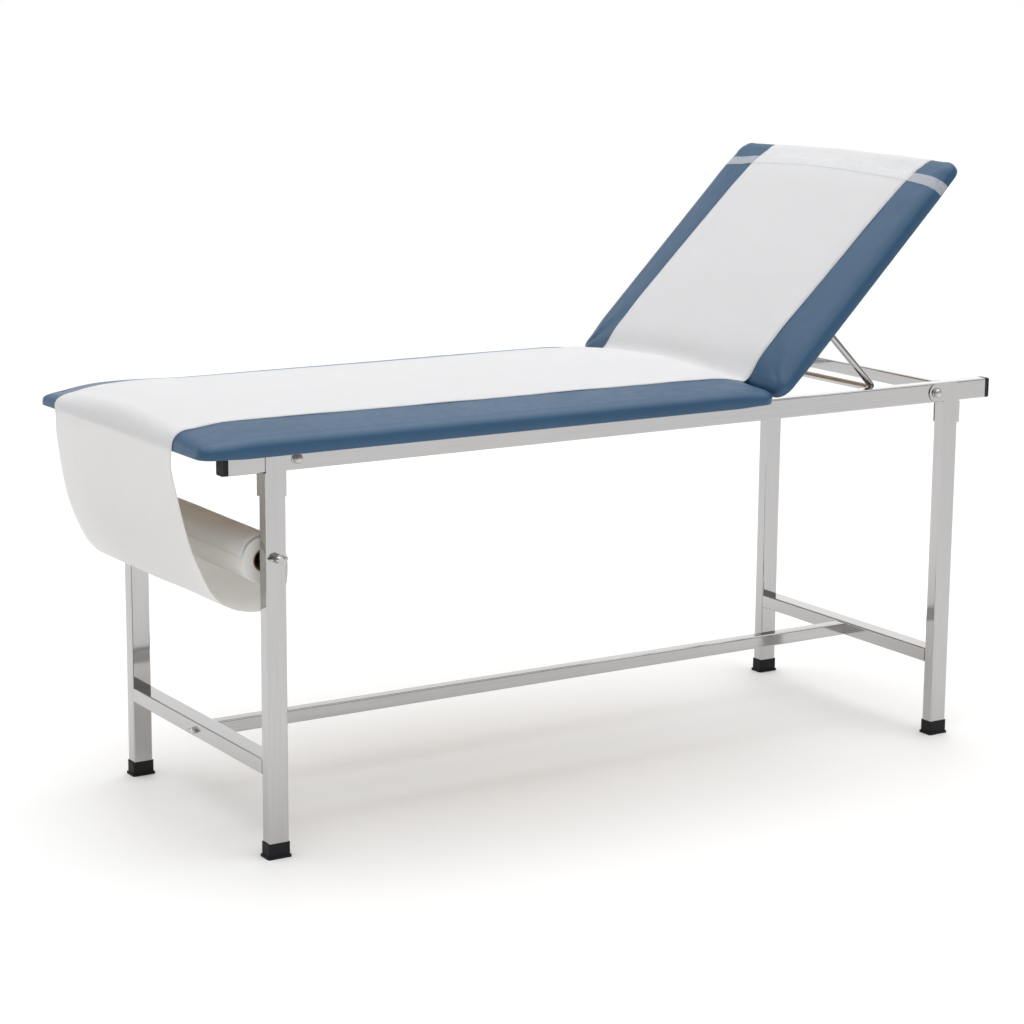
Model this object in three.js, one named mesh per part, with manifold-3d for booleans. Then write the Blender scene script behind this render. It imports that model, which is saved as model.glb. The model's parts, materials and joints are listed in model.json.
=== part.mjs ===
// Folding-frame medical exam table with a raised backrest, a paper roll below its foot end and
// a paper sheet over its pads. Millimetres, +Z up, head end towards +X, near side towards -Y.
import * as THREE from "three";
import { mergeVertices } from "three/addons/utils/BufferGeometryUtils.js";
import Module from "manifold-3d";

const wasm = await Module();
wasm.setup();

// ---- Driving dimensions ----
const FRAME_WIDTH = 600; // over the rails' outer faces
const RAIL_LENGTH = 1700;
const LEG_SPAN = 1560; // over the legs' outer faces
const RAIL_TOP = 734;
const TUBE_TALL = 39; // the rails' and legs' wide side
const TUBE_THIN = 27;
const TUBE_WALL = 1.5;
const TUBE_CORNER = 3;
const CROSS_TUBE = 25; // square tubes between the rails
const HINGE_TUBE_X = 232;
const CAP_THICKNESS = 10;
const CAP_PLUG = 20;
const GAP = 0.3; // between neighbours that touch on the real table

const FOOT_HEIGHT = 27.5;
const FOOT_FLOOR = 6;
const FOOT_WALL = 1.5;
const FOOT_FLANGE = 4.2;
const FOOT_FLANGE_HEIGHT = 4;

const LOW_BAR_BOTTOM = 149.5;
const LOW_BAR_HEIGHT = 28.5;
const STRETCHER_SIDE = 26;
const PLUG_LENGTH = 25;
const SCREW_RADIUS = 4;
const HUB_LENGTH = 10; // of the roll's wing nuts
const NUT_WINGS = 0.78; // size of the wings, where 1 spans 46 mm
const SCREW_WINGS = 0.5;
const SCREW_HUB = 6; // length of the wing screws' hub

const PIVOT_INSET = 60; // from a leg's outer face to its pivot bolt
const PIVOT_RADIUS = 4.8;
const PIVOT_HOLE = 5.2;
const EAR_RADIUS = 18;
const EAR_CORNER = 10;
const SHEET_METAL = 3;
const BRACKET_METAL = 2;
const BRACKET_BOTTOM = 651;

const SEAT_LENGTH = 1206;
const SEAT_HALF_WIDTH = 350;
const BACK_LENGTH = 601;
const BACK_HALF_WIDTH = 346;
const BACK_SHIFT = -3; // the backrest pad sits a little towards the near side
const PAD_CROWN = 61; // pad thickness on its centre line
const PAD_SIDE = 23; // height of a pad where its rounded edge begins
const PAD_WALL = 15; // height of a pad's upright wall below the rounded edge
const PAD_EDGE_ROUND = 24;
const PAD_HINGE_END = 15; // height of a pad's end face next to the hinge
const PAD_HINGE_ROUND = 55;
const PAD_FREE_ROUND = 28;
const PAD_CORNER = 22;
const DOME_POWER = 2.2;
const COVER_SKIN = 2;
const BOARD_THICKNESS = 11;
const BOARD_INSET = 3; // from the cover's outside to the board's edge

const HINGE_X = 296;
const HINGE_DROP = 7.5; // from the rails' top down to the hinge axis
const PAD_OFF = 12.5; // from the hinge axis to either pad
const TILT = THREE.MathUtils.degToRad(45);
const HINGE_LENGTH = 400;
const KNUCKLES = 5;
const KNUCKLE_RADIUS = 5.7;
const HINGE_PIN_RADIUS = 2.6;
const LEAF_WIDTH = 40;

const PROP_LENGTH = 213; // hinge to prop pivot, and prop pivot to its foot bar
const PROP_HALF_WIDTH = 255;
const PROP_RADIUS = 6.8;
const PROP_BEND = 18;
const PROP_PIN_RADIUS = 3;
const RACK_Y = 225.5;
const RACK_FIRST = 245; // hinge to the first notch
const RACK_PITCH = 28;
const RACK_NOTCHES = 7;
const RACK_MARGIN = 20;
const RACK_BOTTOM = 697;

const ROD_Z = 543;
const ROD_RADIUS = 6;
const ROLL_RADIUS = 41.5;
const ROLL_LENGTH = 500;
const CORE_OUTER = 20.8;
const CORE_INNER = 19;
const ROLL_SHIFT = -3; // the roll sits a little towards the near side
const SHEET_SHIFT = 17; // the sheet's middle at the foot end, towards the far side
const PAPER = 0.8; // sheet thickness
const LOOP_STEPS = 26;
const SHEET_LIFT = 1.3; // from a cover to the sheet's underside
const SHEET_DRIFT = 2; // the sheet's middle at the hinge, towards the far side
const STRAP_FROM = 524; // from the backrest pad's hinge end
const STRAP_WIDTH = 24;

// ---- Places that follow from them ----
const HALF_SPAN = LEG_SPAN / 2;
const HALF_WIDTH = FRAME_WIDTH / 2;
const RAIL_BOTTOM = RAIL_TOP - TUBE_TALL;
const RAIL_MIDDLE = RAIL_TOP - TUBE_TALL / 2;
const LEG_X = HALF_SPAN - TUBE_TALL / 2;
const LEG_Y = HALF_WIDTH - TUBE_THIN / 2;
const INNER_Y = HALF_WIDTH - TUBE_THIN;
const BETWEEN_RAILS = 2 * (INNER_Y - GAP);
const PIVOT_X = HALF_SPAN - PIVOT_INSET;
const HINGE_Z = RAIL_TOP - HINGE_DROP;
const SCREW_Z = LOW_BAR_BOTTOM + STRETCHER_SIDE / 2;
const ROLL_Z = ROD_Z - (CORE_INNER - ROD_RADIUS - 0.5);
const SEAT_Z = RAIL_TOP + GAP;

// ---- Materials ----
const finish = (color, roughness, metalness) =>
  new THREE.MeshStandardMaterial({ color, roughness, metalness });
const STEEL = finish(0xcbc8c3, 0.28, 1);
const ZINC = finish(0xb9b9b6, 0.4, 1);
const BLACK_PLASTIC = finish(0x17181a, 0.55, 0);
const RUBBER = finish(0x121416, 0.85, 0);
const VINYL = finish(0x4b6785, 0.45, 0);
const FOAM = finish(0xe8dfb8, 0.95, 0);
const PLYWOOD = finish(0xb98f5c, 0.8, 0);
const PAPER_WHITE = finish(0xf2f2f5, 0.9, 0);
const CARDBOARD = finish(0xa98a63, 0.9, 0);
const CLEAR_STRAP = finish(0x9fb0c4, 0.35, 0);

const table = new THREE.Group();

function add(parent, name, geometry, material) {
  const mesh = new THREE.Mesh(geometry, material);
  mesh.name = name;
  parent.add(mesh);
  return mesh;
}

function groupAt(parent, x, y, z) {
  const group = new THREE.Group();
  group.position.set(x, y, z);
  parent.add(group);
  return group;
}

// ---- Joining and cutting ----
function solidOf(geometry) {
  const bare = geometry.clone();
  bare.deleteAttribute("normal");
  bare.deleteAttribute("uv");
  const merged = mergeVertices(bare, 1e-4);
  return new wasm.Manifold(
    new wasm.Mesh({
      numProp: 3,
      vertProperties: merged.attributes.position.array,
      triVerts: new Uint32Array(merged.index.array),
    }),
  );
}

function geometryOf(solid) {
  const mesh = solid.getMesh();
  const geometry = new THREE.BufferGeometry();
  geometry.setAttribute("position", new THREE.BufferAttribute(mesh.vertProperties, 3));
  geometry.setIndex(new THREE.BufferAttribute(mesh.triVerts, 1));
  geometry.computeVertexNormals();
  return geometry;
}

const join = (first, ...others) =>
  geometryOf(others.reduce((sum, one) => sum.add(solidOf(one)), solidOf(first)));
const cut = (first, ...tools) =>
  geometryOf(tools.reduce((rest, one) => rest.subtract(solidOf(one)), solidOf(first)));

// ---- Basic shapes ----
const TO_X = new THREE.Matrix4().set(0, 0, 1, 0, 1, 0, 0, 0, 0, 1, 0, 0, 0, 0, 0, 1);
const TO_Y = new THREE.Matrix4().set(1, 0, 0, 0, 0, 0, -1, 0, 0, 1, 0, 0, 0, 0, 0, 1);

// A flat shape extruded about its own middle. Along x its drawing axes become y and z, along y
// they become x and z.
function extrude(shape, length, axis, curveSegments = 2) {
  const options = { depth: length, bevelEnabled: false, curveSegments };
  const geometry = new THREE.ExtrudeGeometry(shape, options).translate(0, 0, -length / 2);
  if (axis === "x") geometry.applyMatrix4(TO_X);
  if (axis === "y") geometry.applyMatrix4(TO_Y);
  return geometry;
}

function roundedRectangle(width, height, radius, target = new THREE.Shape()) {
  const x = width / 2;
  const y = height / 2;
  target.moveTo(-x + radius, -y);
  target.lineTo(x - radius, -y);
  target.absarc(x - radius, -y + radius, radius, -Math.PI / 2, 0, false);
  target.lineTo(x, y - radius);
  target.absarc(x - radius, y - radius, radius, 0, Math.PI / 2, false);
  target.lineTo(-x + radius, y);
  target.absarc(-x + radius, y - radius, radius, Math.PI / 2, Math.PI, false);
  target.lineTo(-x, -y + radius);
  target.absarc(-x + radius, -y + radius, radius, Math.PI, 1.5 * Math.PI, false);
  return target;
}

function squareTube(width, height, length, axis) {
  const shape = roundedRectangle(width, height, TUBE_CORNER);
  const inside = TUBE_CORNER - TUBE_WALL;
  const bore = new THREE.Path();
  roundedRectangle(width - 2 * TUBE_WALL, height - 2 * TUBE_WALL, inside, bore);
  shape.holes.push(bore);
  return extrude(shape, length, axis);
}

const block = (x0, x1, y0, y1, z0, z1) =>
  new THREE.BoxGeometry(x1 - x0, y1 - y0, z1 - z0).translate(
    (x0 + x1) / 2,
    (y0 + y1) / 2,
    (z0 + z1) / 2,
  );

function cylinder(radius, length, axis, segments = 14) {
  const geometry = new THREE.CylinderGeometry(radius, radius, length, segments);
  if (axis === "x") geometry.rotateZ(Math.PI / 2);
  if (axis === "z") geometry.rotateX(Math.PI / 2);
  return geometry;
}

const ring = (outer, inner, length, segments) =>
  cut(cylinder(outer, length, "y", segments), cylinder(inner, length + 2, "y", segments));

// A closed body through a row of outlines that have the same number of points. An outline's
// first and second halves mirror each other, so that the end faces are strips between them.
function loft(outlines) {
  const count = outlines[0].length;
  const points = outlines.flat();
  const index = [];
  const quad = (a, b, c, d) => index.push(a, b, c, a, c, d);
  for (let row = 0; row + 1 < outlines.length; row++) {
    const here = row * count;
    const next = here + count;
    for (let i = 0; i < count; i++) {
      const j = (i + 1) % count;
      quad(here + i, here + j, next + j, next + i);
    }
  }
  const last = (outlines.length - 1) * count;
  for (let i = 0; i + 1 < count / 2; i++) {
    const k = count - 1 - i;
    quad(i, k, k - 1, i + 1);
    quad(last + i, last + i + 1, last + k - 1, last + k);
  }
  return facingOut(points, index);
}

function facingOut(points, index) {
  let volume = 0;
  for (let i = 0; i < index.length; i += 3) {
    const [a, b, c] = [points[index[i]], points[index[i + 1]], points[index[i + 2]]];
    volume += a.dot(b.clone().cross(c));
  }
  if (volume < 0) index.reverse();
  const geometry = new THREE.BufferGeometry().setFromPoints(points);
  geometry.setIndex(index);
  geometry.computeVertexNormals();
  return geometry;
}

// ---- Upper frame ----
function sideRail(name, side) {
  const holes = [-PIVOT_X, PIVOT_X].map((x) =>
    cylinder(PIVOT_HOLE, TUBE_THIN + 4, "y").translate(x, 0, 0),
  );
  const rail = cut(squareTube(TUBE_THIN, TUBE_TALL, RAIL_LENGTH, "x"), ...holes);
  add(table, name, rail, STEEL).position.set(0, side * LEG_Y, RAIL_MIDDLE);
}

function crossTube(name, x) {
  const tube = squareTube(CROSS_TUBE, CROSS_TUBE, BETWEEN_RAILS, "y");
  add(table, name, tube, STEEL).position.set(x, 0, RAIL_TOP - CROSS_TUBE / 2);
}

function railEndCap(parent, name) {
  const cover = extrude(roundedRectangle(TUBE_THIN, TUBE_TALL, TUBE_CORNER), CAP_THICKNESS, "x");
  const shrink = 2 * (TUBE_WALL + GAP);
  const plugShape = roundedRectangle(TUBE_THIN - shrink, TUBE_TALL - shrink, 1);
  const plug = extrude(plugShape, CAP_PLUG + 1, "x").translate(
    -(CAP_THICKNESS + CAP_PLUG - 1) / 2,
    0,
    0,
  );
  const x = RAIL_LENGTH / 2 + GAP + CAP_THICKNESS / 2;
  add(parent, name, join(cover, plug), BLACK_PLASTIC).position.set(x, LEG_Y, RAIL_MIDDLE);
}

// ---- Legs ----
function leg(parent, name, holdsRod) {
  const bottom = FOOT_FLOOR + GAP + 0.1;
  const top = RAIL_BOTTOM - GAP;
  let tube = squareTube(TUBE_TALL, TUBE_THIN, top - bottom, "z");
  tube.translate(0, 0, (top + bottom) / 2);
  if (holdsRod) {
    tube = cut(tube, cylinder(ROD_RADIUS + 0.5, TUBE_THIN + 4, "y").translate(0, 0, ROD_Z));
  }
  add(parent, name, tube, STEEL).position.set(LEG_X, LEG_Y, 0);
}

function rubberFoot(parent, name) {
  const plate = (grow, height, z) =>
    extrude(
      roundedRectangle(TUBE_TALL + 2 * grow, TUBE_THIN + 2 * grow, TUBE_CORNER + grow / 2),
      height,
      "z",
    ).translate(0, 0, z + height / 2);
  const sleeve = plate(FOOT_WALL + GAP, FOOT_HEIGHT, 0);
  const flange = plate(FOOT_FLANGE, FOOT_FLANGE_HEIGHT, 0);
  const pocket = plate(GAP + 0.1, FOOT_HEIGHT, FOOT_FLOOR);
  const foot = cut(join(sleeve, flange), pocket);
  add(parent, name, foot, RUBBER).position.set(LEG_X, LEG_Y, 0);
}

// A folded plate that wraps the leg's top on three sides. Its outer ear rises beside the rail
// to the pivot bolt.
function legBracket(parent, name) {
  const outer = HALF_SPAN + GAP + BRACKET_METAL;
  const inner = HALF_SPAN - TUBE_TALL;
  const shoulder = RAIL_BOTTOM - 1;
  const earTop = RAIL_MIDDLE + EAR_RADIUS;
  const ear = new THREE.Shape();
  ear.moveTo(outer, BRACKET_BOTTOM);
  ear.lineTo(outer, shoulder);
  ear.lineTo(HALF_SPAN, shoulder);
  ear.lineTo(HALF_SPAN, earTop - EAR_CORNER);
  ear.absarc(HALF_SPAN - EAR_CORNER, earTop - EAR_CORNER, EAR_CORNER, 0, Math.PI / 2, false);
  ear.absarc(PIVOT_X, RAIL_MIDDLE, EAR_RADIUS, Math.PI / 2, 1.5 * Math.PI, false);
  ear.lineTo(inner, RAIL_MIDDLE - EAR_RADIUS);
  ear.lineTo(inner, BRACKET_BOTTOM);
  const earY = HALF_WIDTH + GAP + BRACKET_METAL / 2;
  const innerY = INNER_Y - GAP - BRACKET_METAL / 2;
  const earPlate = extrude(ear, BRACKET_METAL, "y", 4).translate(0, earY, 0);
  const bolt = cylinder(PIVOT_HOLE, 4 * BRACKET_METAL, "y").translate(PIVOT_X, earY, RAIL_MIDDLE);
  const flange = block(
    inner,
    outer,
    innerY - BRACKET_METAL / 2,
    innerY + BRACKET_METAL / 2,
    BRACKET_BOTTOM,
    shoulder,
  );
  const web = block(
    HALF_SPAN + GAP,
    outer,
    innerY - BRACKET_METAL / 2,
    earY + BRACKET_METAL / 2,
    BRACKET_BOTTOM,
    shoulder,
  );
  add(parent, name, cut(join(earPlate, flange, web), bolt), STEEL);
}

function pivotBolt(parent, name) {
  const seat = HALF_WIDTH + 2 * GAP + BRACKET_METAL;
  const end = INNER_Y - 14;
  const profile = [
    [0, end],
    [PIVOT_RADIUS, end],
    [PIVOT_RADIUS, seat],
    [10.5, seat],
    [10.5, seat + 1.6],
    [8.6, seat + 1.6],
    [8.6, seat + 5.4],
    [7.2, seat + 7.6],
    [4, seat + 9],
    [0, seat + 9.4],
  ].map(([radius, y]) => new THREE.Vector2(radius, y));
  const bolt = new THREE.LatheGeometry(profile, 12);
  add(parent, name, bolt, ZINC).position.set(PIVOT_X, 0, RAIL_MIDDLE);
}

function pivotNut(parent, name) {
  const thickness = 8;
  const nut = cut(
    cylinder(9.2, thickness, "y", 6),
    cylinder(PIVOT_HOLE, thickness + 2, "y"),
  );
  const y = INNER_Y - GAP - thickness / 2;
  add(parent, name, nut, ZINC).position.set(PIVOT_X, y, RAIL_MIDDLE);
}

function corner(end, side) {
  const label = `${end > 0 ? "head" : "foot"}_${side > 0 ? "far" : "near"}`;
  const group = groupAt(table, 0, 0, 0);
  group.scale.set(end, side, 1);
  leg(group, `leg_${label}`, end < 0);
  rubberFoot(group, `rubber_foot_${label}`);
  legBracket(group, `leg_bracket_${label}`);
  pivotBolt(group, `pivot_bolt_${label}`);
  pivotNut(group, `pivot_nut_${label}`);
  railEndCap(group, `rail_end_cap_${label}`);
}

// ---- Low bars and the stretcher between them ----
function lowBar(name, end) {
  const bar = squareTube(TUBE_TALL, LOW_BAR_HEIGHT, BETWEEN_RAILS, "y");
  const middle = LOW_BAR_BOTTOM + LOW_BAR_HEIGHT / 2;
  const hole = cylinder(SCREW_RADIUS + 0.5, TUBE_TALL + 4, "x");
  hole.translate(0, 0, SCREW_Z - middle);
  add(table, name, cut(bar, hole), STEEL).position.set(end * LEG_X, 0, middle);
}

function stretcher() {
  const reach = HALF_SPAN - TUBE_TALL - GAP;
  const tube = squareTube(STRETCHER_SIDE, STRETCHER_SIDE, 2 * reach, "x");
  add(table, "stretcher", tube, STEEL).position.set(0, 0, SCREW_Z);
  const side = STRETCHER_SIDE - 2 * (TUBE_WALL + GAP);
  for (const [label, end] of [["foot", -1], ["head", 1]]) {
    const body = extrude(roundedRectangle(side, side, 1.2), PLUG_LENGTH, "x");
    const plug = cut(body, cylinder(SCREW_RADIUS + 0.4, PLUG_LENGTH + 2, "x"));
    const x = end * (reach - PLUG_LENGTH / 2);
    add(table, `stretcher_plug_${label}`, plug, ZINC).position.set(x, 0, SCREW_Z);
  }
}

// Two rounded wings on a hub, along +Y from the hub's seat at y = 0.
function wings(size) {
  const wing = new THREE.Shape();
  wing.moveTo(4, 1);
  wing.lineTo(13 * size, 4 * size);
  wing.absarc(17 * size, 10 * size, 6 * size, -Math.PI / 2, Math.PI * 0.75, false);
  wing.lineTo(4, HUB_LENGTH * size - 1);
  const right = extrude(wing, 3, "z", 4);
  const left = right.clone().rotateY(Math.PI);
  return [right, left];
}

function wingNut(name, side) {
  const hub = cylinder(8.5, HUB_LENGTH, "y").translate(0, HUB_LENGTH / 2, 0);
  const bore = cylinder(ROD_RADIUS + 0.4, 4 * HUB_LENGTH, "y");
  const nut = cut(join(hub, ...wings(NUT_WINGS)), bore);
  const mesh = add(table, name, nut, ZINC);
  mesh.position.set(-LEG_X, side * (HALF_WIDTH + GAP), ROD_Z);
  if (side < 0) mesh.rotation.x = Math.PI;
}

function wingScrew(label, end) {
  const length = TUBE_TALL + PLUG_LENGTH - 6;
  const hub = cylinder(6, SCREW_HUB, "y").translate(0, SCREW_HUB / 2, 0);
  const shank = cylinder(SCREW_RADIUS, length + 2, "y").translate(0, 1 - length / 2, 0);
  const screw = join(hub, ...wings(SCREW_WINGS), shank);
  const mesh = add(table, `stretcher_wing_screw_${label}`, screw, ZINC);
  mesh.position.set(end * (HALF_SPAN + GAP), 0, SCREW_Z);
  mesh.rotation.z = (-end * Math.PI) / 2;
}

// ---- Paper roll ----
function paperRoll() {
  const rod = cylinder(ROD_RADIUS, FRAME_WIDTH + 2 * (HUB_LENGTH + 8), "y");
  add(table, "roll_rod", rod, STEEL).position.set(-LEG_X, 0, ROD_Z);
  const core = ring(CORE_OUTER, CORE_INNER, ROLL_LENGTH, 24);
  add(table, "roll_core", core, CARDBOARD).position.set(-LEG_X, ROLL_SHIFT, ROLL_Z);
  const roll = ring(ROLL_RADIUS, CORE_OUTER + GAP, ROLL_LENGTH - 1, 32);
  add(table, "paper_roll", roll, PAPER_WHITE).position.set(-LEG_X, ROLL_SHIFT, ROLL_Z);
}

// ---- Pads ----
// A pad is described along s from its hinge end, across y from its middle, and up from its
// underside. Growing it by a negative amount gives the shape inside its cover.
const SEAT = { length: SEAT_LENGTH, halfWidth: SEAT_HALF_WIDTH };
const BACK = { length: BACK_LENGTH, halfWidth: BACK_HALF_WIDTH };

const evenly = (from, to, steps) =>
  Array.from({ length: steps + 1 }, (_, i) => from + ((to - from) * i) / steps);
const portion = (distance, radius) => Math.min(Math.max(distance / radius, 0), 1);
const quarterRound = (distance, radius) =>
  Math.sqrt(1 - (1 - portion(distance, radius)) ** 2);

// Columns across a pad, closer together towards its rounded edges.
const HALF_COLUMNS = [0, 0.35, 0.65, 0.86, 0.945, 0.975, 0.992, 1];
const PAD_COLUMNS = [...HALF_COLUMNS.slice(1).map((c) => -c).reverse(), ...HALF_COLUMNS];

function crownHeight({ length }, s, grow) {
  const hingeRise = 1 - (1 - portion(s + grow, PAD_HINGE_ROUND)) ** DOME_POWER;
  const freeRise = quarterRound(length + grow - s, PAD_FREE_ROUND);
  return (
    grow +
    Math.min(
      PAD_HINGE_END + (PAD_CROWN - PAD_HINGE_END) * hingeRise,
      PAD_SIDE + (PAD_CROWN - PAD_SIDE) * freeRise,
    )
  );
}

function halfWidthAt({ length, halfWidth }, s, grow) {
  const fromEnd = Math.min(s + grow, length + grow - s);
  return halfWidth + grow - PAD_CORNER * (1 - quarterRound(fromEnd, PAD_CORNER));
}

function padTop(size, s, y, grow) {
  const crown = crownHeight(size, s, grow);
  const side = Math.min(PAD_SIDE + grow, crown - 0.4);
  const wall = Math.min(PAD_WALL + grow, crown - 0.8);
  const half = halfWidthAt(size, s, grow);
  const dome = side + (crown - side) * (1 - portion(Math.abs(y), half) ** DOME_POWER);
  return wall + (dome - wall) * quarterRound(half - Math.abs(y), PAD_EDGE_ROUND);
}

function padBody(size, grow, bottom) {
  const fromHinge = [0, 3, 9, 18, 32, PAD_HINGE_ROUND].map((s) => s - grow);
  const fromFree = [PAD_FREE_ROUND, 16, 7, 2, 0].map((s) => size.length + grow - s);
  const outlines = [...fromHinge, ...fromFree].map((s) => {
    const across = PAD_COLUMNS.map((c) => c * halfWidthAt(size, s, grow));
    const low = across.map((y) => new THREE.Vector3(s, y, bottom));
    const high = across.map((y) => new THREE.Vector3(s, y, padTop(size, s, y, grow)));
    return [...low, ...high.reverse()];
  });
  return loft(outlines);
}

function pad(parent, label, size) {
  const cover = cut(padBody(size, 0, 0), padBody(size, -COVER_SKIN, -5));
  const foam = padBody(size, -(COVER_SKIN + GAP), BOARD_THICKNESS + GAP);
  const plate = roundedRectangle(
    size.length - 2 * BOARD_INSET,
    2 * (size.halfWidth - BOARD_INSET),
    PAD_CORNER,
  );
  const board = extrude(plate, BOARD_THICKNESS, "z", 4);
  board.translate(size.length / 2, 0, BOARD_THICKNESS / 2);
  add(parent, `${label}_cover`, cover, VINYL);
  add(parent, `${label}_foam`, foam, FOAM);
  add(parent, `${label}_board`, board, PLYWOOD);
}

// ---- Paper sheet ----
// Each outline of the sheet runs along its upper face and back along its lower face.
const acrossSheet = (middle) => evenly(middle - ROLL_LENGTH / 2, middle + ROLL_LENGTH / 2, 8);

function sheetOnPad(size, s, middle) {
  const face = (grow) =>
    acrossSheet(middle).map((y) => new THREE.Vector3(s, y, padTop(size, s, y, grow)));
  return [...face(SHEET_LIFT + PAPER), ...face(SHEET_LIFT).reverse()];
}

// The hanging loop from the pad's end down and up behind the roll and over it: x from the foot
// legs' outer face, z from the floor.
const LOOP = [
  [-144, 742],
  [-145, 700],
  [-134.5, 650],
  [-127.5, 617],
  [-112, 558],
  [-90, 503],
  [-70, 470],
  [-45, 450.5],
  [-14, 440.5],
  [20, 438.5],
  [47, 445.5],
  [63, 466],
  [69, 497],
  [68, 530],
  [58, 555],
  [43, 570],
  [20, 576.5],
  [-4, 571],
  [-19, 559],
  [-25, 540],
];

// The seat group looks towards the foot end, so that the loop is turned into its frame.
function loopOutlines() {
  const start = HINGE_X - PAD_OFF + HALF_SPAN;
  const points = LOOP.map(([x, z]) => new THREE.Vector3(start - x, 0, z - SEAT_Z));
  const curve = new THREE.CatmullRomCurve3(points, false, "centripetal");
  return evenly(0, 1, LOOP_STEPS).map((t) => {
    const middle = curve.getPointAt(t);
    const along = curve.getTangentAt(t);
    const face = (offset) =>
      acrossSheet(-SHEET_SHIFT - (ROLL_SHIFT - SHEET_SHIFT) * t).map(
        (y) => new THREE.Vector3(middle.x - offset * along.z, y, middle.z + offset * along.x),
      );
    return [...face(PAPER / 2), ...face(-PAPER / 2).reverse()];
  });
}

function seatSheet(parent) {
  const along = [60, 200, 420, 640, 860, 1040, 1120];
  const fromFree = [28, 16, 7, 2, 0.3].map((s) => SEAT_LENGTH - s);
  const middle = (s) => -SHEET_DRIFT - ((SHEET_SHIFT - SHEET_DRIFT) * s) / SEAT_LENGTH;
  const onPad = [...along, ...fromFree].map((s) => sheetOnPad(SEAT, s, middle(s)));
  add(parent, "paper_sheet_seat", loft([...onPad, ...loopOutlines()]), PAPER_WHITE);
}

function backSheet(parent) {
  const fromHinge = [60, 150, 260, 370, 480];
  const fromFree = [28, 16, 7, 2, 0.3].map((s) => BACK_LENGTH - s);
  const middle = (s) => SHEET_DRIFT - BACK_SHIFT - (31 * s) / BACK_LENGTH;
  const onPad = [...fromHinge, ...fromFree].map((s) => sheetOnPad(BACK, s, middle(s)));
  add(parent, "paper_sheet_back", loft(onPad), PAPER_WHITE);
}

// A clear band over the backrest that holds the paper. It ends at the board's two edges.
function paperStrap(parent) {
  const edges = [STRAP_FROM, STRAP_FROM + STRAP_WIDTH];
  const face = (y, grow, height) =>
    edges.map((s) => {
      const across = (y * halfWidthAt(BACK, s, grow)) / BACK_HALF_WIDTH;
      return new THREE.Vector3(s, across, height ?? padTop(BACK, s, across, grow));
    });
  const inside = SHEET_LIFT + PAPER + 2 * GAP;
  const outline = (y, height) => [
    ...face(y, inside, height),
    ...face(y, inside + PAPER, height).reverse(),
  ];
  const columns = [...PAD_COLUMNS, ...evenly(-0.75, 0.75, 10)].sort((a, b) => a - b);
  const outlines = [
    outline(-BACK_HALF_WIDTH, 2),
    ...columns.map((c) => outline(c * BACK_HALF_WIDTH)),
    outline(BACK_HALF_WIDTH, 2),
  ];
  add(parent, "paper_strap", loft(outlines), CLEAR_STRAP);
}

// ---- Backrest hinge ----
// One leaf with its own knuckles: side -1 lies under the seat board, side 1 under the backrest.
function hingeLeaf(parent, name, side, firstKnuckle) {
  const top = HINGE_DROP - GAP;
  const bottom = top - 2.2;
  const clear = KNUCKLE_RADIUS + 0.8;
  const half = HINGE_LENGTH / 2;
  const [inner, outer] = [side * clear, side * LEAF_WIDTH].sort((a, b) => a - b);
  const pitch = HINGE_LENGTH / KNUCKLES;
  const pieces = [block(inner, outer, -half, half, bottom, top)];
  for (let k = firstKnuckle; k < KNUCKLES; k += 2) {
    const middle = -half + (k + 0.5) * pitch;
    const width = pitch - 0.8;
    const [a, b] = [0, side * (clear + 1)].sort((p, q) => p - q);
    pieces.push(cylinder(KNUCKLE_RADIUS, width, "y", 12).translate(0, middle, 0));
    pieces.push(
      block(a, b, middle - width / 2, middle + width / 2, bottom - 2, bottom + 0.4),
    );
  }
  const bore = cylinder(HINGE_PIN_RADIUS + 0.5, HINGE_LENGTH + 10, "y", 12);
  add(parent, name, cut(join(...pieces), bore), ZINC);
}

// ---- Backrest prop ----
// A bar bent to a U in the plane of its legs: pivots at x = 0, foot bar at x = PROP_LENGTH.
function propFrame(parent) {
  const arc = (side) =>
    evenly(0, Math.PI / 2, 4).map((angle) => ({
      x: PROP_LENGTH - PROP_BEND + PROP_BEND * Math.sin(angle),
      y: side * (PROP_HALF_WIDTH - PROP_BEND + PROP_BEND * Math.cos(angle)),
      heading: side < 0 ? -angle : angle - Math.PI,
    }));
  const tips = [
    { x: -6, radius: 3.9 },
    { x: -3, radius: PROP_RADIUS },
  ];
  const leg = (side) =>
    tips.map((tip) => ({
      ...tip,
      y: side * PROP_HALF_WIDTH,
      heading: side < 0 ? 0 : -Math.PI,
    }));
  const stations = [...leg(-1), ...arc(-1), ...arc(1).reverse(), ...leg(1).reverse()];
  const outlines = stations.map(({ x, y, heading, radius = PROP_RADIUS }) =>
    evenly(0, 2 * Math.PI, 12)
      .slice(0, 12)
      .map((angle) => {
        const aside = radius * Math.cos(angle);
        const up = radius * Math.sin(angle);
        return new THREE.Vector3(
          x + aside * Math.sin(heading),
          y + aside * Math.cos(heading),
          up,
        );
      }),
  );
  const holes = [-1, 1].map((side) =>
    cylinder(PROP_PIN_RADIUS + 0.4, 20, "y").translate(0, side * PROP_HALF_WIDTH, 0),
  );
  add(parent, "prop_frame", cut(loft(outlines), ...holes), STEEL);
}

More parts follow.
